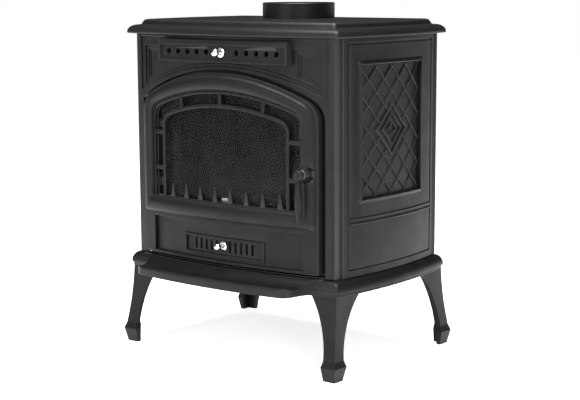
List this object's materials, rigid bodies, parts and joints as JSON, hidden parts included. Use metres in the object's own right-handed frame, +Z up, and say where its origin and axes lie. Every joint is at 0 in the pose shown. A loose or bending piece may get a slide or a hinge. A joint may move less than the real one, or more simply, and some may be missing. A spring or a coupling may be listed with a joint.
{
  "type": "wood burning stove",
  "caption": "Free-standing bow-fronted cast-iron wood burning stove on four splayed legs, with an arched glazed door, two sliding air controls and a round top flue outlet.",
  "frame": {"origin": "on the floor, at the middle of the overall width and depth (ash shelf to rear feet)", "axes": "+X to the right of someone facing the door, +Y towards the back, +Z up"},
  "size_m": [0.582, 0.4704, 0.7145],
  "materials": {
    "stove_paint": "heat-resistant anthracite paint on sand-cast iron",
    "inner_iron": "bare sand-cast iron, lightly sooted",
    "chrome": "polished",
    "steel": "zinc plated",
    "dark_steel": "black",
    "glass": "clear ceramic, tinted",
    "seal": "graphite glass-fibre rope"
  },
  "bodies": {
    "stove_body": {"base_plate": "stove_paint", "leg_front_left": "stove_paint", "leg_front_right": "stove_paint", "leg_rear_left": "stove_paint", "leg_rear_right": "stove_paint", "front_frame": "stove_paint", "air_block": "stove_paint", "side_left": "stove_paint", "side_right": "stove_paint", "lattice_left": "stove_paint", "lattice_right": "stove_paint", "rear_panel": "stove_paint", "rear_flue_cover": "stove_paint", "top_plate": "stove_paint", "flue_collar": "stove_paint", "firebox_floor": "inner_iron", "grate": "inner_iron", "liner_left": "inner_iron", "liner_right": "inner_iron", "liner_back": "inner_iron", "baffle_plate": "inner_iron", "baffle_pegs": "inner_iron", "floor_supports": "inner_iron", "tie_rods": "steel", "tie_rod_nuts": "steel", "leg_bolts": "steel", "flue_collar_bolts": "steel", "hinge_pins": "steel", "rear_cover_screws": "steel", "upper_slider_rails": "dark_steel", "ash_pan": "dark_steel", "ash_pan_handle": "dark_steel", "ash_pan_rails": "dark_steel"},
    "door": {"door_casting": "stove_paint", "door_fret": "stove_paint", "spike_rail": "stove_paint", "window_glass": "glass", "glass_seal": "seal", "glass_clips": "steel", "glass_clip_screws": "steel", "door_seal": "seal", "handle_boss": "dark_steel", "lower_slider_rails": "dark_steel"},
    "door_handle": {"handle_spindle": "dark_steel", "handle_grip": "stove_paint", "latch_cam": "dark_steel", "latch_nut": "steel"},
    "upper_air_slider": {"upper_slider": "dark_steel", "upper_knob": "chrome", "upper_knob_rosette": "chrome"},
    "lower_air_slider": {"lower_slider": "dark_steel", "lower_knob": "chrome", "lower_knob_rosette": "chrome"}
  },
  "joints": [
    {"name": "door_hinge", "type": "hinge", "parent": "stove_body", "child": "door", "pos_m": [-0.223, -0.14549, 0.35], "axis": [0, 0, -1], "range_deg": [0, 95]},
    {"name": "handle_turn", "type": "hinge", "parent": "door", "child": "door_handle", "pos_m": [0.2055, -0.16925, 0.397], "axis": [0, -1, 0], "range_deg": [0, 85]},
    {"name": "upper_air_slide", "type": "slide", "parent": "stove_body", "child": "upper_air_slider", "axis": [1, 0, 0], "range_m": [0, 0.0125]},
    {"name": "lower_air_slide", "type": "slide", "parent": "door", "child": "lower_air_slider", "axis": [1, 0, 0], "range_m": [0, 0.0071]}
  ]
}
